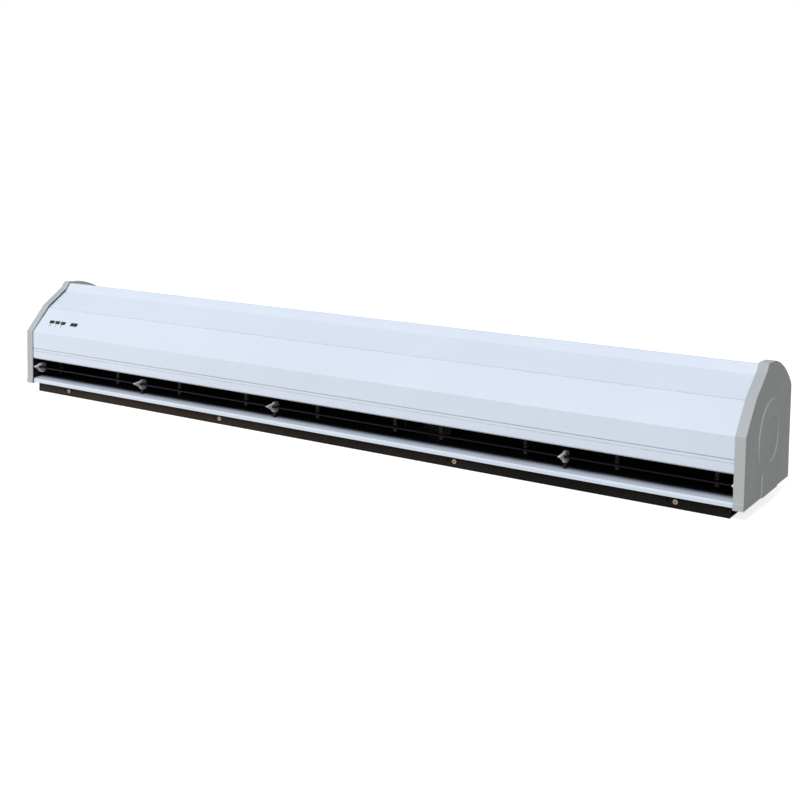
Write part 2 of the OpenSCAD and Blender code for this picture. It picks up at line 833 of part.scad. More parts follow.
// Rubber rings between the motor's end bosses and the bay walls
ring_width = 7;
module motor_rings() {
    color(rubber_black) placed() for (side = [-1, 1])
        translate([motor_x, fan_back, fan_height]) rotate([0, side * 90, 0])
            translate([0, 0, motor_bay / 2 - bay_wall / 2 - ring_width / 2]) difference() {
                union() {
                    cylinder(h = ring_width, r = ring_radius);
                    cylinder(h = ring_width / 2 - bay_wall / 2 - 0.2, r = ring_radius + 2);
                }
                translate([0, 0, -1]) cylinder(h = ring_width + 2, r = ring_bore + 0.1);
            }
}
module motor_housing() {
    color(zinc) placed() translate([motor_x, fan_back, fan_height]) for (side = [-1, 1])
        rotate([0, side * 90, 0]) difference() {
            union() {
                translate([0, 0, band_half]) cylinder(h = 3, r = motor_radius);
                translate([0, 0, band_half + 3])
                    cylinder(h = motor_half - band_half - ring_width - 3,
                             r1 = motor_radius, r2 = motor_radius * 0.6);
                translate([0, 0, band_half]) cylinder(h = motor_bay / 2 - band_half, r = ring_bore);
            }
            translate([0, 0, band_half - 1]) cylinder(h = motor_bay, r = shaft_radius + shaft_clearance);
            for (i = [0 : 5]) rotate(60 * i) translate([motor_radius * 0.72, 0, band_half - 1])
                cylinder(h = motor_bay, r = 3);
        }
}
module motor_band() {
    color("#8d9196") placed() translate([motor_x, fan_back, fan_height]) rotate([0, 90, 0])
        difference() {
            cylinder(h = motor_band_width - 0.2, r = motor_radius - 1.5, center = true);
            cylinder(h = motor_band_width + 2, r = shaft_radius + 1, center = true);
        }
}
shaft_end = motor_bay / 2 + 12;
module motor_shaft() {
    color(zinc) placed() rod(motor_x - shaft_end, motor_x + shaft_end, shaft_radius, fan_axis);
}

// ---- Impellers ----

fan_end_gap = 13;
fan_bay_gap = 4;
hub_radius = 18;
hub_length = 8;
disc_pitch_limit = 170;
ring_disc_inner = 34;
end_bore = shaft_radius + 0.05;
blade_wrap = 16;
blade_steps = 3;
fan_blade_wall = 1;
// Point on a blade's curve at a share of its depth, turned by an angle
function blade_point(share, turn) =
    let (r = blade_ring_inner + (fan_radius - 0.4 - blade_ring_inner) * share,
         a = turn + blade_wrap * share * share)
    r * [cos(a), sin(a)];
module blade_ring() {
    for (k = [0 : fan_blades - 1]) {
        turn = 360 * k / fan_blades;
        wall_turn = fan_blade_wall / fan_radius * 180 / PI;
        polygon(concat(
            [for (i = [0 : blade_steps]) blade_point(i / blade_steps, turn)],
            [for (i = [blade_steps : -1 : 0]) blade_point(i / blade_steps, turn + wall_turn)]));
    }
}
// An impeller from x0 to x1; the hub's disc is at its motor end
module impeller(x0, x1, hub_side) {
    discs = ceil((x1 - x0) / disc_pitch_limit);
    placed() translate([x0, fan_back, fan_height]) rotate([90, 0, 90]) {
        linear_extrude(x1 - x0) blade_ring();
        for (i = [1 : discs - 1]) translate([0, 0, (x1 - x0) * i / discs - disc_thickness / 2])
            linear_extrude(disc_thickness) difference() {
                circle(fan_radius);
                circle(ring_disc_inner);
            }
        for (end = [0, 1]) translate([0, 0, end * (x1 - x0 - disc_thickness)])
            linear_extrude(disc_thickness) difference() {
                circle(fan_radius);
                circle(end == hub_side ? hub_radius + 0.05 : end_bore);
            }
        translate([0, 0, hub_side == 1 ? disc_thickness - 1 : x1 - x0 - disc_thickness - 9])
            linear_extrude(10) difference() {
                circle(2.2 * shaft_radius);
                circle(end_bore);
            }
    }
}
fan_end = side_inner - fan_end_gap;
module left_impeller() { color(duct_black) impeller(-fan_end, bay_left - fan_bay_gap, 1); }
module right_impeller() { color(duct_black) impeller(bay_right + fan_bay_gap, fan_end, 0); }

// Rubber hub between the motor's shaft and an impeller
module hub(side) {
    color(rubber_black) placed() translate([motor_x, fan_back, fan_height]) rotate([0, side * 90, 0])
        translate([0, 0, motor_bay / 2 + fan_bay_gap]) difference() {
            cylinder(h = hub_length, r = hub_radius);
            translate([0, 0, -1]) cylinder(h = hub_length + 2, r = shaft_radius + 0.05);
        }
}
module left_hub() { hub(-1); }
module right_hub() { hub(1); }

bush_half = 5;
end_shaft_out = bush_half + 1;
module end_shaft(side) {
    color(zinc) placed() at_end(side) rod(fan_end - 10, side_outer + end_shaft_out, shaft_radius, fan_axis);
}
module left_end_shaft() { end_shaft(-1); }
module right_end_shaft() { end_shaft(1); }

// Bush that carries an end shaft, and its rubber-lined seat on the side plate
bush_radius = 10;
seat_radius = 16;
flange_radius = 30;
flange_wall = 2;
module bearing(side) {
    color(brass) placed() at_end(side) difference() {
        rod(side_outer - bush_half, side_outer + bush_half, bush_radius, fan_axis);
        rod(side_outer - 2 * bush_half, side_outer + 2 * bush_half, shaft_radius + shaft_clearance, fan_axis);
    }
}
module left_bearing() { bearing(-1); }
module right_bearing() { bearing(1); }
module bearing_seat(side) {
    color(rubber_black) placed() at_end(side) difference() {
        union() {
            rod(side_inner - 2, side_outer + flange_wall + 3, seat_radius, fan_axis);
            rod(side_outer + 0.1, side_outer + flange_wall, flange_radius, fan_axis);
        }
        rod(side_inner - 3, side_outer + 10, bush_radius + 0.05, fan_axis);
    }
}
module left_bearing_seat() { bearing_seat(-1); }
module right_bearing_seat() { bearing_seat(1); }

// ---- Electrical parts ----

capacitor_x = motor_x;
capacitor_radius = 16;
capacitor_clear = 3;
capacitor_lift = 6;
capacitor_at = [grille_back - steel - capacitor_radius - capacitor_clear,
                housing_base + capacitor_radius + capacitor_lift];
capacitor_length = 70;
tag_wall = 0.8;
tag_width = 6;
module capacitor() {
    color("#d8d8d4") placed() {
        rod(capacitor_x - capacitor_length / 2, capacitor_x + capacitor_length / 2,
            capacitor_radius, capacitor_at);
        for (dy = [-6, 6])
            translate([capacitor_x + capacitor_length / 2 - 1, capacitor_at[0] + dy - tag_wall / 2,
                       capacitor_at[1] - tag_width / 2])
                cube([10, tag_wall, tag_width]);
    }
}
clip_width = 14;
module capacitor_clip() {
    color(zinc) placed() along_x(capacitor_x - clip_width / 2, capacitor_x + clip_width / 2) difference() {
        union() {
            translate(capacitor_at) circle(capacitor_radius + 1.3);
            translate([capacitor_at[0] - 8, housing_base + 0.1]) square([16, capacitor_at[1] - housing_base]);
        }
        translate(capacitor_at) circle(capacitor_radius + 0.1);
    }
}
block_size = [60, 16, 22];
block_at = [inlet_x + 40, panel_back - gap - block_size[1], 40];
block_ways = 5;
way_pitch = 11;
module terminal_block() {
    color("#e4e2da") placed() translate(block_at) difference() {
        cube(block_size);
        for (i = [0 : block_ways - 1]) translate([4 + i * way_pitch, -1, 5]) cube([8, 9, 12]);
        for (i = [0 : block_ways - 1]) translate([8 + i * way_pitch, 4, block_size[2] / 2])
            rotate([-90, 0, 0]) cylinder(h = 9, r = 2);
    }
}
grommet_flange = grommet_seat + 3;
module cable_grommet() {
    color(rubber_black) placed() translate([inlet_x, panel_back, inlet_height]) rotate([-90, 0, 0])
        difference() {
            union() {
                translate([0, 0, -3]) cylinder(h = steel + 4.5, r = grommet_seat - 0.1);
                translate([0, 0, -3]) cylinder(h = 2.8, r = grommet_flange);
                translate([0, 0, steel + 0.2]) cylinder(h = 1.8, r = grommet_flange);
            }
            translate([0, 0, -4]) cylinder(h = steel + 8, r = inlet_radius);
        }
}

// ---- Controls ----

button_depth = 4;
button_flange = 1.2;
flange_top = -cover_sheet - gap;
plunger_top = -button_depth - button_travel - gap;
switch_height = 3.6;
board_top = plunger_top - switch_height;
board_wall = 1.6;
module push_button(i) {
    color(button_black) placed() on_slope(button_x + i * button_pitch, button_rise) {
        translate([0, 0, -button_depth]) linear_extrude(button_depth + button_proud)
            rounded(button_width, button_height, 0.9);
        translate([0, 0, flange_top - button_flange]) linear_extrude(button_flange)
            rounded(button_width + 2.4, button_height + 2.4, 1.2);
    }
}
module push_button_1() { push_button(0); }
module push_button_2() { push_button(1); }
module push_button_3() { push_button(2); }

module receiver_window() {
    color(button_black) placed() on_slope(window_x, button_rise) {
        translate([0, 0, -button_depth]) linear_extrude(button_depth + 0.4)
            rounded(window_width, window_height, 0.9);
        translate([0, 0, flange_top - button_flange + gap - 0.02]) linear_extrude(button_flange)
            rounded(window_width + 3, window_height + 3, 1.2);
    }
}

board_x0 = button_x - 12;
board_x1 = window_x + 16;
board_length = board_x1 - board_x0;
board_depth = 26;
module control_board() {
    color("#2f6b3c") placed() on_slope((board_x0 + board_x1) / 2, button_rise)
        translate([0, 0, board_top - board_wall]) {
            linear_extrude(board_wall) square([board_length, board_depth], center = true);
            translate([window_x - (board_x0 + board_x1) / 2, 0, board_wall - 0.1]) linear_extrude(4)
                square([8, 6], center = true);
        }
}
module tact_switches() {
    color("#3a3a3e") placed() for (i = [0 : 2]) on_slope(button_x + i * button_pitch, button_rise)
        translate([0, 0, board_top + 0.02]) {
            linear_extrude(switch_height - 1.2) square([6, 6], center = true);
            cylinder(h = switch_height, r = 1.7);
        }
}
box_wall = 1.5;
box_depth = 16;
module control_box() {
    color("#d9d9d6") placed() on_slope((board_x0 + board_x1) / 2, button_rise)
        translate([0, 0, board_top - board_wall]) difference() {
            union() {
                translate([0, 0, -box_depth]) linear_extrude(box_depth - 0.1)
                    square([board_length + 2 * box_wall, board_depth + 2 * box_wall], center = true);
                for (x = [-1, 1]) translate([x * (board_length / 2 + 3), 0, -4])
                    cylinder(h = 4 + board_wall - board_top - cover_sheet - 0.1, r = 3);
            }
            translate([0, 0, -box_depth + box_wall]) linear_extrude(box_depth)
                square([board_length - 4, board_depth - 4], center = true);
        }
}

left_end_cap();
right_end_cap();
upper_front_panel();
lower_front_panel();
outlet_upper_lip();
outlet_lower_lip();
base_plate();
back_panel();
intake_grille();
left_side_plate();
right_side_plate();
vortex_tongue();
left_air_guide();
right_air_guide();
duct_posts();
wall_plate();
fixing_angle();
plate_screws();
grille_screws();
cap_screws();
air_vane();
vane_lever_left();
vane_lever_middle();
vane_lever_right();
vane_holder_left();
vane_holder_right();
vane_rests();
motor_bracket();
motor_clamps();
motor_rings();
motor_housing();
motor_band();
motor_shaft();
left_impeller();
right_impeller();
left_hub();
right_hub();
left_end_shaft();
right_end_shaft();
left_bearing();
right_bearing();
left_bearing_seat();
right_bearing_seat();
capacitor();
capacitor_clip();
terminal_block();
control_box();
control_board();
tact_switches();
push_button_1();
push_button_2();
push_button_3();
receiver_window();
cable_grommet();
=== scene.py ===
"""Looks of the air curtain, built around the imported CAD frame."""

import json
import math

import bmesh
import bpy
from mathutils import Matrix, Vector
from mathutils.bvhtree import BVHTree


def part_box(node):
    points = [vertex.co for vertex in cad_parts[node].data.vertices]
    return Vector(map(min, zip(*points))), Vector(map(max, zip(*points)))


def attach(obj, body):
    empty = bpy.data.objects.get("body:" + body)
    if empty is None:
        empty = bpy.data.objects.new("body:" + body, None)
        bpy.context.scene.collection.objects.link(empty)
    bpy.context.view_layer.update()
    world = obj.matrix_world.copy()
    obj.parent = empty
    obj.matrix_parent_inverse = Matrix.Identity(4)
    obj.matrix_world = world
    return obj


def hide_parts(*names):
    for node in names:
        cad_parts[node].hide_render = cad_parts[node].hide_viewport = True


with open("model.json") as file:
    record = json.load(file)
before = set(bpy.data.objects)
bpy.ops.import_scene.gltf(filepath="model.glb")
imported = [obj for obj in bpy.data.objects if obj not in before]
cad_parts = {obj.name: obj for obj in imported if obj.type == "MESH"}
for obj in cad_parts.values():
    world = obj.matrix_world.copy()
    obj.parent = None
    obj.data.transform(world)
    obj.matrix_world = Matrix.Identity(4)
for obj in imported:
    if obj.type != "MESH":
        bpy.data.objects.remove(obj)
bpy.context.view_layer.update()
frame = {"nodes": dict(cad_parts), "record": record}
NODES = frame["nodes"]
MM = 0.001
ALONG = Vector((1, 0, 0))
FORWARD, BACKWARD = Vector((0, -1, 0)), Vector((0, 1, 0))
UP, DOWN = Vector((0, 0, 1)), Vector((0, 0, -1))
bpy.context.scene.view_settings.view_transform = "Standard"

# ---- Camera, at the photograph's viewing angle ----
# Fitted to the photograph, whose optical axis lies on row AXIS_ROW, above its middle.

IMAGE = 800
SENSOR_WIDTH = 36
AZIMUTH, ELEVATION, ROLL = map(math.radians, (32.586, 4.547, 0.842))
FOCAL_PIXELS = 1258.8
AXIS_ROW = 220
EYE = Vector((1.2802, -1.8662, 0.5691))


def make_camera():
    data = bpy.data.cameras.new("camera")
    data.sensor_width = SENSOR_WIDTH
    data.lens = FOCAL_PIXELS / IMAGE * data.sensor_width
    data.shift_y = (AXIS_ROW - IMAGE / 2) / IMAGE
    data.clip_start, data.clip_end = 0.01, 100
    forward = Vector((
        -math.sin(AZIMUTH) * math.cos(ELEVATION),
        math.cos(AZIMUTH) * math.cos(ELEVATION),
        -math.sin(ELEVATION),
    ))
    level = Vector((math.cos(AZIMUTH), math.sin(AZIMUTH), 0))
    upward = level.cross(forward)
    right = level * math.cos(ROLL) + upward * math.sin(ROLL)
    up = upward * math.cos(ROLL) - level * math.sin(ROLL)
    turn = Matrix((right, up, -forward)).transposed().to_4x4()
    camera = bpy.data.objects.new("camera", data)
    camera.matrix_world = Matrix.Translation(EYE) @ turn
    bpy.context.scene.collection.objects.link(camera)
    bpy.context.scene.camera = camera


make_camera()

# ---- Materials ----


def srgb(*levels):
    """Linear colour from 8-bit levels."""
    return tuple(
        ((v / 255 + 0.055) / 1.055) ** 2.4 if v > 10 else v / 255 / 12.92
        for v in levels
    )


def tinted(colour, factor):
    return tuple(min(1, c * factor) for c in colour)


class Shader:
    """A Principled material with object coordinates to build its detail from."""

    def __init__(self, name, **sockets):
        self.material = bpy.data.materials.new(name)
        self.material.use_nodes = True
        self.tree = self.material.node_tree
        self.tree.nodes.clear()
        self.output = self.add("ShaderNodeOutputMaterial")
        self.bsdf = self.add("ShaderNodeBsdfPrincipled")
        self.feed(self.output.inputs["Surface"], self.bsdf.outputs["BSDF"])
        for socket, value in sockets.items():
            self.feed(self.bsdf.inputs[socket.replace("_", " ")], value)
        self.place = self.add("ShaderNodeTexCoord").outputs["Object"]

    def add(self, kind, **settings):
        node = self.tree.nodes.new(kind)
        for key, value in settings.items():
            setattr(node, key, value)
        return node

    def feed(self, socket, value):
        """Gives a socket a constant, or the output of another node."""
        if isinstance(value, bpy.types.NodeSocket):
            self.tree.links.new(value, socket)
        elif socket.type == "RGBA":
            socket.default_value = (*value, 1)
        else:
            socket.default_value = value

    def stretched(self, stretch):
        if stretch == (1, 1, 1):
            return self.place
        mapping = self.add("ShaderNodeMapping")
        self.feed(mapping.inputs["Vector"], self.place)
        self.feed(mapping.inputs["Scale"], stretch)
        return mapping.outputs["Vector"]

    def noise(self, scale, detail=2, roughness=0.5, stretch=(1, 1, 1)):
        node = self.add("ShaderNodeTexNoise")
        self.feed(node.inputs["Vector"], self.stretched(stretch))
        self.feed(node.inputs["Scale"], scale)
        self.feed(node.inputs["Detail"], detail)
        self.feed(node.inputs["Roughness"], roughness)
        return node.outputs["Fac"]

    def cells(self, scale, output="Distance", stretch=(1, 1, 1)):
        node = self.add("ShaderNodeTexVoronoi")
        self.feed(node.inputs["Vector"], self.stretched(stretch))
        self.feed(node.inputs["Scale"], scale)
        return node.outputs[output]

    def axis(self, name):
        node = self.add("ShaderNodeSeparateXYZ")
        self.feed(node.inputs["Vector"], self.place)
        return node.outputs[name]

    def between(self, value, low, high, start=0.3, end=0.7, curve="LINEAR"):
        """A value mapped from the range start to end onto low to high."""
        node = self.add("ShaderNodeMapRange", interpolation_type=curve)
        self.feed(node.inputs["Value"], value)
        self.feed(node.inputs["From Min"], start)
        self.feed(node.inputs["From Max"], end)
        self.feed(node.inputs["To Min"], low)
        self.feed(node.inputs["To Max"], high)
        return node.outputs["Result"]

    def mix(self, factor, a, b):
        """Two colours mixed by a value."""
        node = self.add("ShaderNodeMix", data_type="RGBA")
        self.feed(node.inputs["Factor"], factor)
        colours = [socket for socket in node.inputs if socket.type == "RGBA"]
        self.feed(colours[0], a)
        self.feed(colours[1], b)
        return next(socket for socket in node.outputs if socket.type == "RGBA")

    def math(self, operation, a, b):
        node = self.add("ShaderNodeMath", operation=operation)
        self.feed(node.inputs[0], a)
        self.feed(node.inputs[1], b)
        return node.outputs["Value"]

    def mottled(self, colour, scale, low, high, detail=3, stretch=(1, 1, 1)):
        """A colour that wanders between a darker and a lighter tint."""
        factor = self.between(self.noise(scale, detail, 0.5, stretch), 0, 1)
        return self.mix(factor, tinted(colour, low), tinted(colour, high))

    def finish(self, colour, roughness, *bumps):
        """Colour, roughness and a chain of bumps, each (height, strength, distance)."""
        self.feed(self.bsdf.inputs["Base Color"], colour)
        self.feed(self.bsdf.inputs["Roughness"], roughness)
        normal = None
        for height, strength, distance in bumps:
            node = self.add("ShaderNodeBump")
            self.feed(node.inputs["Strength"], strength)
            self.feed(node.inputs["Distance"], distance)
            self.feed(node.inputs["Height"], height)
            if normal:
                self.feed(node.inputs["Normal"], normal)
            normal = node.outputs["Normal"]
        self.feed(self.bsdf.inputs["Normal"], normal)
        return self.material


def coated_steel(name, colour, gloss=0.44, painted_shade=None):
    """Sheet with a satin powder coat: faint orange peel, soft mottling and fine dust.

    The last argument is (colour, axis, place, place): painted shade, where the coat
    turns to that colour between two places along an axis, standing in for the shade that falls
    inside the duct and the unit.
    """
    s = Shader(name, Specular_IOR_Level=0.45, Coat_Weight=0.08, Coat_Roughness=0.3)
    coat = s.mottled(colour, 5, 0.97, 1.02)
    coat = s.mix(s.between(s.noise(1500, 1), 0, 0.4, 0.62, 0.8), coat, tinted(colour, 0.9))
    # Painted shade along an axis, with a little noise in where it starts.
    if painted_shade:
        shade, axis, start, end = painted_shade
        wander = s.between(s.noise(14, 3), -0.05 * (end - start), 0.05 * (end - start))
        depth = s.math("ADD", s.axis(axis), wander)
        coat = s.mix(s.between(depth, 0, 1, start, end, "SMOOTHSTEP"), coat, shade)
    gloss_map = s.between(s.noise(35, 3), gloss - 0.05, gloss + 0.07)
    peel, wave = s.noise(700, 2), s.noise(60, 2)
    return s.finish(coat, gloss_map, (peel, 0.1, 0.0002), (wave, 0.06, 0.0006))


def moulded(name, colour, gloss=0.45, grain=1600, relief=0.16, shine=0.5):
    """Moulded plastic with a fine spark-eroded grain."""
    s = Shader(name, Specular_IOR_Level=shine)
    body = s.mottled(colour, 9, 0.96, 1.04)
    body = s.mix(s.between(s.cells(grain), 0, 0.4, 0.1, 0.6), body, tinted(colour, 0.9))
    gloss_map = s.between(s.noise(50, 2), gloss - 0.05, gloss + 0.08)
    sparks, wave = s.cells(grain), s.noise(25, 2)
    return s.finish(body, gloss_map, (sparks, relief, 0.0002), (wave, 0.05, 0.001))


def metal(name, colour, gloss=0.35, brushed=None, spangle=0, recess=None):
    """Bare or plated metal, brushed along an axis or with zinc spangles.

    recess is (start, end) along Y, between which the metal is painted dark: painted shade in a
    recess.
    """
    s = Shader(name, Metallic=1.0, Specular_IOR_Level=0.5)
    grain = s.noise(260 if brushed else 90, 4, 0.6, brushed or (1, 1, 1))
    skin = s.mix(s.between(grain, 0, 1), tinted(colour, 0.82), tinted(colour, 1.08))
    if spangle:
        tone = s.add("ShaderNodeSeparateColor")
        s.feed(tone.inputs["Color"], s.cells(spangle, "Color"))
        skin = s.mix(s.between(tone.outputs[0], 0, 0.6, 0, 1), skin, tinted(colour, 0.72))
    # Painted shade: the metal darkens to a tenth of its colour between two places along Y.
    if recess:
        skin = s.mix(s.between(s.axis("Y"), 0, 1, *recess), skin, tinted(colour, 0.1))
    return s.finish(skin, s.between(grain, gloss - 0.08, gloss + 0.12), (grain, 0.12, 0.0002))


def rubber(name, colour):
    """Matt rubber with a fine skin."""
    s = Shader(name, Specular_IOR_Level=0.3)
    skin = s.mottled(colour, 120, 0.8, 1.25)
    gloss_map = s.between(s.noise(200, 2), 0.62, 0.85)
    return s.finish(skin, gloss_map, (s.noise(1400, 2), 0.2, 0.0002))


def dark_paint(name, colour, gloss=0.5, dust=srgb(118, 104, 92), dusty=0.22, shine=0.2):
    """Dark paint with fine dust and long faint scratches.

    colour may be a function that makes the paint's colour in the shader.
    """
    s = Shader(name, Specular_IOR_Level=shine)
    coat = colour(s) if callable(colour) else s.mottled(colour, 14, 0.75, 1.3, 4)
    coat = s.mix(s.between(s.noise(420, 4, 0.7), 0, dusty, 0.55, 0.85), coat, dust)
    scratches = s.noise(160, 2, 0.5, (0.03, 1, 1))
    coat = s.mix(s.between(scratches, 0, 0.7 * dusty, 0.66, 0.74), coat, dust)
    gloss_map = s.between(s.noise(70, 3), gloss - 0.08, gloss + 0.12)
    return s.finish(coat, gloss_map, (s.noise(900, 2), 0.14, 0.0002))


def rail_coat(s):
    """The wall plate's paint: brown at the left, nearly black at the right, in patches."""
    along = s.between(s.axis("X"), 0, 1, -0.7, 0.7)
    patch = s.between(s.noise(3.2, 2), -0.25, 0.25)
    return s.mix(s.math("ADD", along, patch), srgb(50, 41, 34), srgb(14, 11, 8))


def dark_gloss(name, colour):
    """Black button plastic with a faint haze of fingerprints."""
    s = Shader(name, Specular_IOR_Level=0.25, Coat_Weight=0.1, Coat_Roughness=0.08)
    skin = s.mottled(colour, 300, 0.8, 1.3, 2)
    gloss_map = s.between(s.noise(420, 3), 0.25, 0.42)
    return s.finish(skin, gloss_map, (s.noise(1800, 1), 0.06, 0.0001))


def board(name, colour):
    """Circuit board: solder mask with copper tracks under it."""
    s = Shader(name, Coat_Weight=0.3, Coat_Roughness=0.2)
    tracks = s.between(s.cells(260, "Distance", (1, 0.4, 1)), 0, 1, 0.42, 0.5)
    mask = s.mix(tracks, colour, tinted(colour, 1.6))
    return s.finish(mask, s.between(s.noise(200, 2), 0.3, 0.45), (tracks, 0.2, 0.00005))


def printed(name, colour):
    """Screen-printed ink with slightly ragged cover."""
    s = Shader(name, Specular_IOR_Level=0.4)
    ink = s.mottled(colour, 900, 0.85, 1.2, 3)
    gloss_map = s.between(s.noise(600, 2), 0.45, 0.6)
    return s.finish(ink, gloss_map, (s.noise(2500, 1), 0.1, 0.00005))


LIP_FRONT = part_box("outlet_lower_lip")[0].y
BASE_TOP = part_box("base_plate")[1].z
PLATE_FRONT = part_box("wall_plate")[0].y
COVER_WHITE = srgb(218, 224, 232)
# Colours of painted shade, for the duct's floor and the base plate's inner face.
DUCT_PAINTED_SHADE = srgb(22, 26, 36)
BASE_PAINTED_SHADE = srgb(13, 13, 15)

COVER = coated_steel("cover_paint", COVER_WHITE)
# Painted shade: the lower lip's floor turns dark towards the back of the outlet, where the duct's
# shade falls.
LOWER_LIP = coated_steel(
    "lower_lip_paint", COVER_WHITE,
    painted_shade=(DUCT_PAINTED_SHADE, "Y", LIP_FRONT + 10 * MM, LIP_FRONT + 31 * MM))
# Painted shade: the base plate's top face, inside the unit, turns near black for the shade there.
BASE = coated_steel(
    "base_paint", COVER_WHITE,
    painted_shade=(BASE_PAINTED_SHADE, "Z", BASE_TOP - 0.5 * MM, BASE_TOP - 0.2 * MM))
CAP = moulded("cap_plastic", srgb(188, 190, 187), 0.6, shine=0.05)
PLATE = dark_paint("plate_paint", rail_coat, 0.62, dusty=0.12, shine=0.08)
ZINC = metal("zinc_steel", srgb(188, 192, 196), 0.42, spangle=140)
# The screw heads are painted dark deep in the cross recess and at their foot against the plate:
# painted shade.
BRASS = metal(
    "screw_brass", srgb(152, 138, 112), 0.45,
    recess=(PLATE_FRONT - 1.1 * MM, PLATE_FRONT - 0.7 * MM))
SEAL = rubber("seal_grey", srgb(196, 202, 209))
DUCT = dark_paint("duct_black", srgb(16, 16, 18), 0.6, srgb(60, 58, 56), 0.1)
POSTS = dark_paint("post_steel", srgb(84, 76, 66), 0.6, dusty=0.1)
VANE = metal("vane_black", srgb(27, 25, 29), 0.4, brushed=(0.02, 1, 1))
LEVER = moulded("lever_white", srgb(206, 204, 202), 0.3, 2400, 0.05)
HOLDER = moulded("holder_white", srgb(238, 238, 248), 0.3, 2400, 0.05)
RESTS = dark_paint("rest_black", srgb(9, 9, 10), 0.6, srgb(40, 40, 40), 0.08)
RUBBER = rubber("rubber_black", srgb(34, 34, 34))
MOTOR_STEEL = dark_paint("motor_steel", srgb(30, 27, 29), 0.5, srgb(70, 66, 64), 0.12)
MOTOR_END = dark_paint("motor_end", srgb(34, 31, 33), 0.45, srgb(80, 76, 74), 0.12)
BUSH = metal("bush_brass", srgb(178, 132, 70), 0.45)
CAPACITOR = moulded("capacitor_shell", srgb(216, 216, 212), 0.35)
TERMINAL = moulded("terminal_plastic", srgb(228, 226, 218), 0.4)
BOX = moulded("box_plastic", srgb(217, 217, 214), 0.45)
BOARD = board("board_green", srgb(47, 107, 60))
SWITCH = moulded("switch_black", srgb(52, 52, 56), 0.4)
BUTTON = dark_gloss("button_black", srgb(12, 12, 16))
INK = printed("legend_ink", srgb(58, 62, 72))

MATERIAL_OF_SLOT = {
    "cover_paint": COVER, "cap_plastic": CAP, "plate_paint": PLATE, "zinc_steel": ZINC,
    "screw_brass": BRASS, "duct_black": DUCT, "duct_steel": DUCT, "post_steel": POSTS,
    "vane_black": VANE, "lever_white": LEVER, "rubber_black": RUBBER,
    "motor_steel": MOTOR_STEEL, "motor_end": MOTOR_END, "bush_brass": BUSH,
    "capacitor_shell": CAPACITOR, "terminal_plastic": TERMINAL, "box_plastic": BOX,
    "board_green": BOARD, "switch_black": SWITCH, "button_black": BUTTON,
}
MATERIAL_OF_NODE = {
    "base_plate": BASE, "outlet_lower_lip": LOWER_LIP,
    "vane_holder_left": HOLDER, "vane_holder_right": HOLDER, "vane_rests": RESTS,
    "motor_bracket": MOTOR_STEEL, "motor_clamps": MOTOR_STEEL,
}


def dress_nodes():
    """Each CAD node gets the material of its slot, or one of its own."""
    for part in frame["record"]["subparts"]:
        name = part["node"]
        material = MATERIAL_OF_NODE.get(name, MATERIAL_OF_SLOT[part["material_slot"]])
        NODES[name].data.materials.clear()
        NODES[name].data.materials.append(material)


dress_nodes()

# ---- Rounded edges, by modifiers alone ----

WELD_DISTANCE = 0.01 * MM
FLAT_ANGLE = math.radians(1)
SHARP_ANGLE = math.radians(25)
EDGE_RADII = {  # in mm
    "left_end_cap": 0.9, "right_end_cap": 0.9,
    "upper_front_panel": 0.4, "lower_front_panel": 0.4,
    "outlet_upper_lip": 0.15, "outlet_lower_lip": 0.4,
    "intake_grille": 0.3, "wall_plate": 0.4, "duct_posts": 0.4,
    "vane_lever_left": 0.7, "vane_lever_middle": 0.7, "vane_lever_right": 0.7,
    "vane_holder_left": 0.5, "vane_holder_right": 0.5, "air_vane": 0.2,
    "push_button_1": 0.35, "push_button_2": 0.35, "push_button_3": 0.35,
    "receiver_window": 0.2, "motor_housing": 0.6, "terminal_block": 0.4, "capacitor": 0.8,
    "cable_grommet": 0.5,
}


def soften(node, width, segments=2):
    """Small round edges on a CAD node."""
    weld = node.modifiers.new("weld", "WELD")
    weld.merge_threshold = WELD_DISTANCE
    flat = node.modifiers.new("flat", "DECIMATE")
    flat.decimate_type = "DISSOLVE"
    flat.angle_limit = FLAT_ANGLE
    bevel = node.modifiers.new("bevel", "BEVEL")
    bevel.width = width
    bevel.segments = segments
    bevel.limit_method = "ANGLE"
    bevel.angle_limit = SHARP_ANGLE


for node_name, radius in EDGE_RADII.items():
    soften(NODES[node_name], radius * MM)

# ---- Tools for new pieces ----


def new_piece(name, mesh, material, body):
    """An object that rides on a body and takes its finish from a slot."""
    piece = bpy.data.objects.new(name, mesh)
    mesh.materials.clear()
    mesh.materials.append(material)
    bpy.context.scene.collection.objects.link(piece)
    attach(piece, body)
    return piece


def add_lathe(bm, profile, place, segments=32):
    """A closed turned solid: the profile is (radius, height) from axis to axis."""
    rings = []
    for radius, height in profile:
        if radius == 0:
            rings.append([bm.verts.new(place @ Vector((0, 0, height)))])
            continue
        turns = (2 * math.pi * i / segments for i in range(segments))
        rings.append([
            bm.verts.new(place @ Vector((radius * math.cos(a), radius * math.sin(a), height)))
            for a in turns
        ])
    for low, high in zip(rings, rings[1:]):
        for i in range(segments):
            j = (i + 1) % segments
            corners = [
                low[i % len(low)], low[j % len(low)],
                high[j % len(high)], high[i % len(high)],
            ]
            bm.faces.new(list(dict.fromkeys(corners)))


def add_strip(bm, section, x0, x1):
    """A bar along X with a section of (y, z) points."""
    ends = [[bm.verts.new((x, y, z)) for y, z in section] for x in (x0, x1)]
    bm.faces.new(ends[0])
    bm.faces.new(ends[1][::-1])
    for i in range(len(section)):
        j = (i + 1) % len(section)
        bm.faces.new((ends[0][j], ends[0][i], ends[1][i], ends[1][j]))


def mesh_from(build):
    """The mesh that a function builds, with its faces turned outwards."""
    bm = bmesh.new()
    build(bm)
    bmesh.ops.recalc_face_normals(bm, faces=bm.faces)
    mesh = bpy.data.meshes.new("mesh")
    bm.to_mesh(mesh)
    bm.free()
    return mesh


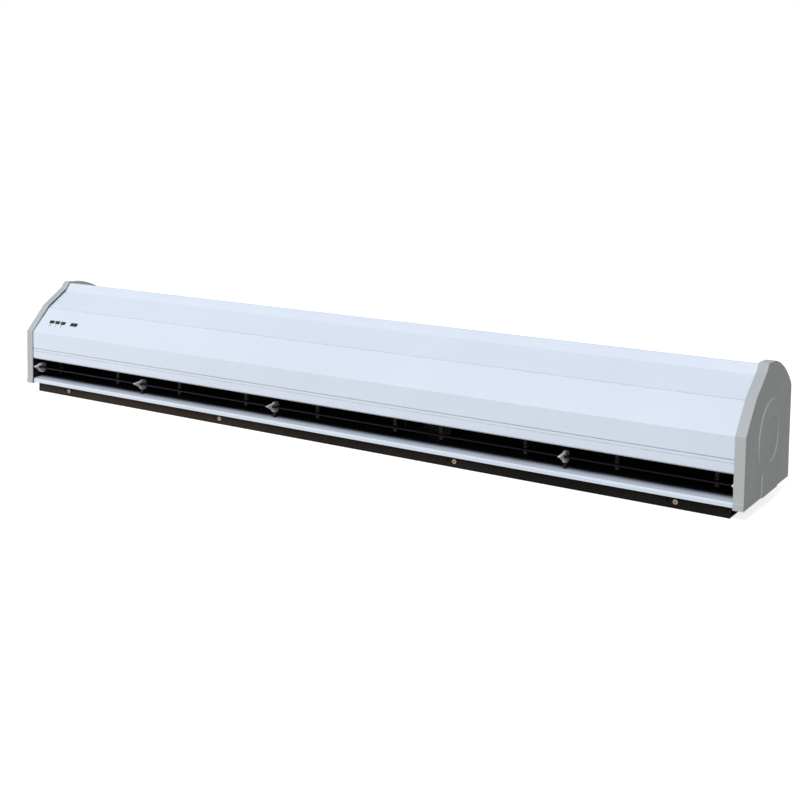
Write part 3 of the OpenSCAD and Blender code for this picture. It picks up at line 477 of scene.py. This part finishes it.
def cut(solid, tool):
    """The first mesh with the second taken away."""
    collection = bpy.context.scene.collection
    target = bpy.data.objects.new("target", solid)
    cutter = bpy.data.objects.new("cutter", tool)
    for obj in (target, cutter):
        collection.objects.link(obj)
    modifier = target.modifiers.new("cut", "BOOLEAN")
    modifier.operation = "DIFFERENCE"
    modifier.solver = "EXACT"
    modifier.use_self = True
    modifier.object = cutter
    graph = bpy.context.evaluated_depsgraph_get()
    result = bpy.data.meshes.new_from_object(target.evaluated_get(graph))
    for obj in (target, cutter):
        bpy.data.objects.remove(obj)
    return result


# ---- Screws with a cross recess ----

ISLAND_GAP = 20 * MM
FLAT_TOP, STRAIGHT_RIM = 0.72, 0.35  # shares of a head's radius and height
DOME_STEP, DOME_STEPS = 15, 6
FOOT_LENGTH, FOOT_WIDTH = 0.45, 0.78  # shares of an arm's length and width at its bottom


def add_wedge(bm, length, width, depth, place):
    """One arm of the cross recess: a bar that narrows downwards."""
    corners = []
    for height, along, across in ((depth, 1, 1), (-depth, FOOT_LENGTH, FOOT_WIDTH)):
        half_length, half_width = along * length / 2, across * width / 2
        for sx, sy in ((-1, -1), (1, -1), (1, 1), (-1, 1)):
            point = Vector((sx * half_length, sy * half_width, height))
            corners.append(bm.verts.new(place @ point))
    top, bottom = corners[:4], corners[4:]
    bm.faces.new(top)
    bm.faces.new(bottom[::-1])
    for i in range(4):
        j = (i + 1) % 4
        bm.faces.new((top[j], top[i], bottom[i], bottom[j]))


def make_screws(name, node, places, direction, size, material, turns):
    """Pan-head screws that stand for a CAD node, each with its own turn of the cross.

    size is (head's radius, head's height, shank's radius, shank's length).
    """
    head, rise, shank, length = size
    arm_length, arm_width, recess = 1.15 * head, 0.34 * head, 0.8 * rise
    dome = [(0, -length), (0.8 * shank, -length), (shank, -length + shank), (shank, 0), (head, 0)]
    for step in range(DOME_STEPS):
        a = math.radians(DOME_STEP * step)
        radius = head * (FLAT_TOP + (1 - FLAT_TOP) * math.cos(a))
        dome.append((radius, rise * (STRAIGHT_RIM + (1 - STRAIGHT_RIM) * math.sin(a))))
    dome.append((0, rise))
    level = direction.to_track_quat("Z", "Y").to_matrix().to_4x4()
    frames = [
        Matrix.Translation(at) @ level @ Matrix.Rotation(math.radians(turn), 4, "Z")
        for at, turn in zip(places, turns)
    ]

    def heads(bm):
        for place in frames:
            add_lathe(bm, dome, place)

    def crosses(bm):
        for place in frames:
            top = place @ Matrix.Translation((0, 0, rise))
            for quarter in (0, 90):
                arm = top @ Matrix.Rotation(math.radians(quarter), 4, "Z")
                add_wedge(bm, arm_length, arm_width, recess, arm)

    tool = mesh_from(crosses)
    mesh = cut(mesh_from(heads), tool)
    piece = new_piece(name, mesh, material, "housing")
    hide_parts(node)


def islands(node):
    """Centres along X of a CAD node's separate solids, and the node's box."""
    mesh = NODES[node].data
    low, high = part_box(node)
    middles = sorted(p.center.x for p in mesh.polygons)
    groups, last = [], None
    for x in middles:
        if last is None or x - last > ISLAND_GAP:
            groups.append([])
        groups[-1].append(x)
        last = x
    return [(min(g) + max(g)) / 2 for g in groups], low, high


def plate_screws():
    """The brass screws along the wall plate's front."""
    xs, low, high = islands("plate_screws")
    size = (4.2 * MM, 2 * MM, 2 * MM, 9 * MM)
    height = (low.z + high.z) / 2
    places = [Vector((x, PLATE_FRONT, height)) for x in xs]
    make_screws("plate_screw_heads", "plate_screws", places, FORWARD,
                size, BRASS, (12, 40, 75, 28))


def grille_screws():
    """The zinc screws that hold the intake grille at the back."""
    xs, low, high = islands("grille_screws")
    rise = 1.8 * MM
    seat = high.y - rise
    size = (2.8 * MM, rise, 1.45 * MM, seat - low.y)
    height = (low.z + high.z) / 2
    places = [Vector((x, seat, height)) for x in xs]
    make_screws("grille_screw_heads", "grille_screws", places, BACKWARD,
                size, ZINC, (5, 33, 61, 18, 80))


plate_screws()
grille_screws()

# ---- Legends under the buttons ----

BUTTON_PROUD = 1 * MM
LEGEND_HEIGHT = 8 * MM
LEGEND_DROP = 8.5 * MM
INK_PROUD = 0.03 * MM
INK_HALF = 0.02 * MM
FACING = 0.95  # smallest cosine between a top face's normal and the way out of the slope
LEVEL_BAND = 0.1 * MM


def slope_face(node):
    """Centre and outward normal of the top of a piece on the lower slope."""
    polygons = NODES[node].data.polygons
    out = (FORWARD + UP).normalized()
    facing = [p for p in polygons if p.normal.dot(out) > FACING]
    highest = max(p.center.dot(facing[0].normal) for p in facing)
    top = [p for p in facing if highest - p.center.dot(p.normal) < LEVEL_BAND]
    area = sum(p.area for p in top)
    centre = sum((p.center * p.area for p in top), Vector()) / area
    return centre, top[0].normal.copy()


def make_legend(name, words, node):
    """A printed number on the panel, below the button that it belongs to."""
    centre, normal = slope_face(node)
    up = normal.cross(ALONG)
    data = bpy.data.curves.new(name, "FONT")
    data.body = words
    data.size = LEGEND_HEIGHT
    data.align_x = "CENTER"
    data.align_y = "CENTER"
    data.extrude = INK_HALF
    text = bpy.data.objects.new("text", data)
    bpy.context.scene.collection.objects.link(text)
    graph = bpy.context.evaluated_depsgraph_get()
    mesh = bpy.data.meshes.new_from_object(text.evaluated_get(graph))
    bpy.data.objects.remove(text)
    turn = Matrix((ALONG, up, normal)).transposed().to_4x4()
    below = centre - up * LEGEND_DROP - normal * (BUTTON_PROUD - INK_PROUD)
    mesh.transform(Matrix.Translation(below) @ turn)
    new_piece(name, mesh, INK, "housing")


for number in range(3):
    make_legend(f"legend_{number}", str(number), f"push_button_{number + 1}")

# ---- Joint strips that close the grooves ----

GROOVE = 1.4 * MM
LINE_DROP = 4.2 * MM
LINE_WIDTH = 1 * MM


def make_strip(name, edge, out, along, width, sunk, thick, material):
    """A shallow V in a groove: edge is a point on the groove's first edge, out the outward
    normal and along the way across the groove, all in the Y-Z plane."""
    shares = ((0, 0), (0.5, -0.3), (1, 0), (1, -1), (0, -1))
    points = [edge + along * (width * a) + out * (b * thick - sunk) for a, b in shares]
    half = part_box("lower_front_panel")[1].x
    mesh = mesh_from(lambda bm: add_strip(bm, [(p.y, p.z) for p in points], -half, half))
    new_piece(name, mesh, material, "housing")


upper_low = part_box("upper_front_panel")[0]
lower_low, lower_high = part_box("lower_front_panel")
slope_out = slope_face("push_button_1")[1]
slope_up = slope_out.cross(ALONG)
slope_edge = Vector((0, upper_low.y, lower_high.z + slope_up.z * GROOVE))
lip_groove = Vector((0, lower_low.y, lower_low.z))
lip_top = Vector((0, lower_low.y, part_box("outlet_upper_lip")[1].z))
make_strip("slope_joint_strip", slope_edge, slope_out, -slope_up,
           width=GROOVE, sunk=0.9 * MM, thick=1 * MM, material=COVER)
make_strip("lip_joint_strip", lip_groove, FORWARD, DOWN,
           width=GROOVE, sunk=2 * MM, thick=1 * MM, material=COVER)
make_strip("lip_line_strip", lip_top + DOWN * LINE_DROP, FORWARD, DOWN,
           width=LINE_WIDTH, sunk=0.2 * MM, thick=0.4 * MM, material=SEAL)

# ---- Ribs that close the caps between the crown and the intake ----

RIB_FRONT, RIB_BACK, RIB_STEPS = -4.2 * MM, 110 * MM, 38
RIB_INSET = 0.2 * MM
RIB_WALL = 1.2 * MM
RIB_FOOT = 2 * MM
CAP_PROBE = 1 * MM
INTAKE_PROBE = 12 * MM
INSIDE_CAP = 120 * MM
ABOVE_INTAKE = 300 * MM


def surface_of(node):
    """A CAD node's surface, for finding heights on it."""
    mesh = NODES[node].data
    corners = [v.co for v in mesh.vertices]
    return BVHTree.FromPolygons(corners, [p.vertices for p in mesh.polygons])


def crown_rib(side):
    """A thin wall just inside a cap's open edge, from the crown down to the intake."""
    crown, intake = surface_of(f"{side}_end_cap"), surface_of("intake_grille")
    low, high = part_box(f"{side}_end_cap")
    edge, outward = (high.x, -1) if side == "left" else (low.x, 1)
    in_cap, over_intake = edge + outward * CAP_PROBE, edge - outward * INTAKE_PROBE
    top, bottom = [], []
    for k in range(RIB_STEPS + 1):
        y = RIB_FRONT + (RIB_BACK - RIB_FRONT) * k / RIB_STEPS
        top.append((y, crown.ray_cast(Vector((in_cap, y, INSIDE_CAP)), UP)[0].z))
        below = intake.ray_cast(Vector((over_intake, y, ABOVE_INTAKE)), DOWN)[0].z
        bottom.append((y, below - RIB_FOOT))
    near = edge + outward * RIB_INSET
    far = near + outward * RIB_WALL
    rib = mesh_from(lambda bm: add_strip(bm, top + bottom[::-1], near, far))
    new_piece(f"{side}_crown_rib", rib, CAP, "housing")


crown_rib("left")
crown_rib("right")

# ---- Floor and light ----

FLOOR_SIZE = 7
FLOOR_HEIGHT = -0.5 * MM
FLOOR_COLOUR = srgb(190, 186, 176)
FLOOR_GLOW = 0.8
SKY = (0.9, 0.98, 1.1)
SKY_STRENGTH = 0.27
LAMP_TARGET = Vector((0, 0, 0.1))


def make_floor():
    """A floor whose glow shows to the camera and in reflections, but lights nothing."""
    bpy.ops.mesh.primitive_plane_add(size=FLOOR_SIZE, location=(0, 0, FLOOR_HEIGHT))
    floor = bpy.context.object
    floor.name = "floor"
    s = Shader("floor_white", Specular_IOR_Level=0.1)
    tone = s.mottled(FLOOR_COLOUR, 3, 0.99, 1.01)
    s.finish(tone, 0.9, (s.noise(40, 2), 0.02, 0.001))
    path = s.add("ShaderNodeLightPath")
    glow = s.add("ShaderNodeEmission")
    seen = s.math("MAXIMUM", path.outputs["Is Camera Ray"], path.outputs["Is Transmission Ray"])
    seen = s.math("MAXIMUM", seen, path.outputs["Is Glossy Ray"])
    s.feed(glow.inputs["Strength"], s.math("MULTIPLY", seen, FLOOR_GLOW))
    total = s.add("ShaderNodeAddShader")
    s.feed(total.inputs[0], s.bsdf.outputs["BSDF"])
    s.feed(total.inputs[1], glow.outputs["Emission"])
    s.feed(s.output.inputs["Surface"], total.outputs["Shader"])
    floor.data.materials.append(s.material)


def make_world():
    """A dim sky that lights the object, and a white one that is seen."""
    world = bpy.data.worlds.new("world")
    bpy.context.scene.world = world
    world.use_nodes = True
    tree = world.node_tree
    tree.nodes.clear()
    output = tree.nodes.new("ShaderNodeOutputWorld")
    sky = tree.nodes.new("ShaderNodeBackground")
    sky.inputs["Color"].default_value = (*SKY, 1)
    sky.inputs["Strength"].default_value = SKY_STRENGTH
    white = tree.nodes.new("ShaderNodeBackground")
    white.inputs["Color"].default_value = (1, 1, 1, 1)
    path = tree.nodes.new("ShaderNodeLightPath")
    seen = path.outputs["Is Camera Ray"]
    for ray in ("Is Glossy Ray", "Is Transmission Ray"):
        either = tree.nodes.new("ShaderNodeMath")
        either.operation = "MAXIMUM"
        tree.links.new(seen, either.inputs[0])
        tree.links.new(path.outputs[ray], either.inputs[1])
        seen = either.outputs["Value"]
    mix = tree.nodes.new("ShaderNodeMixShader")
    tree.links.new(seen, mix.inputs["Fac"])
    tree.links.new(sky.outputs["Background"], mix.inputs[1])
    tree.links.new(white.outputs["Background"], mix.inputs[2])
    tree.links.new(mix.outputs["Shader"], output.inputs["Surface"])


def make_lamp(name, place, size, power, colour):
    """A round area lamp that points at the object."""
    data = bpy.data.lights.new(name, "AREA")
    data.shape = "DISK"
    data.size = size
    data.energy = power
    data.color = colour
    lamp = bpy.data.objects.new(name, data)
    lamp.location = place
    lamp.rotation_mode = "QUATERNION"
    lamp.rotation_quaternion = (Vector(place) - LAMP_TARGET).to_track_quat("Z", "Y")
    bpy.context.scene.collection.objects.link(lamp)
    return lamp


make_floor()
make_world()
make_lamp("key", (1.05, -7.2, 7.4), size=3.8, power=735, colour=(0.95, 0.99, 1.06))
make_lamp("low", (-2.4, -2.2, 0.4), size=1.0, power=18, colour=(0.98, 0.98, 0.97))
back = make_lamp("back", (-0.6, 6.4, 1.3), size=2.4, power=180, colour=(0.98, 0.99, 1.02))
back.visible_glossy = False
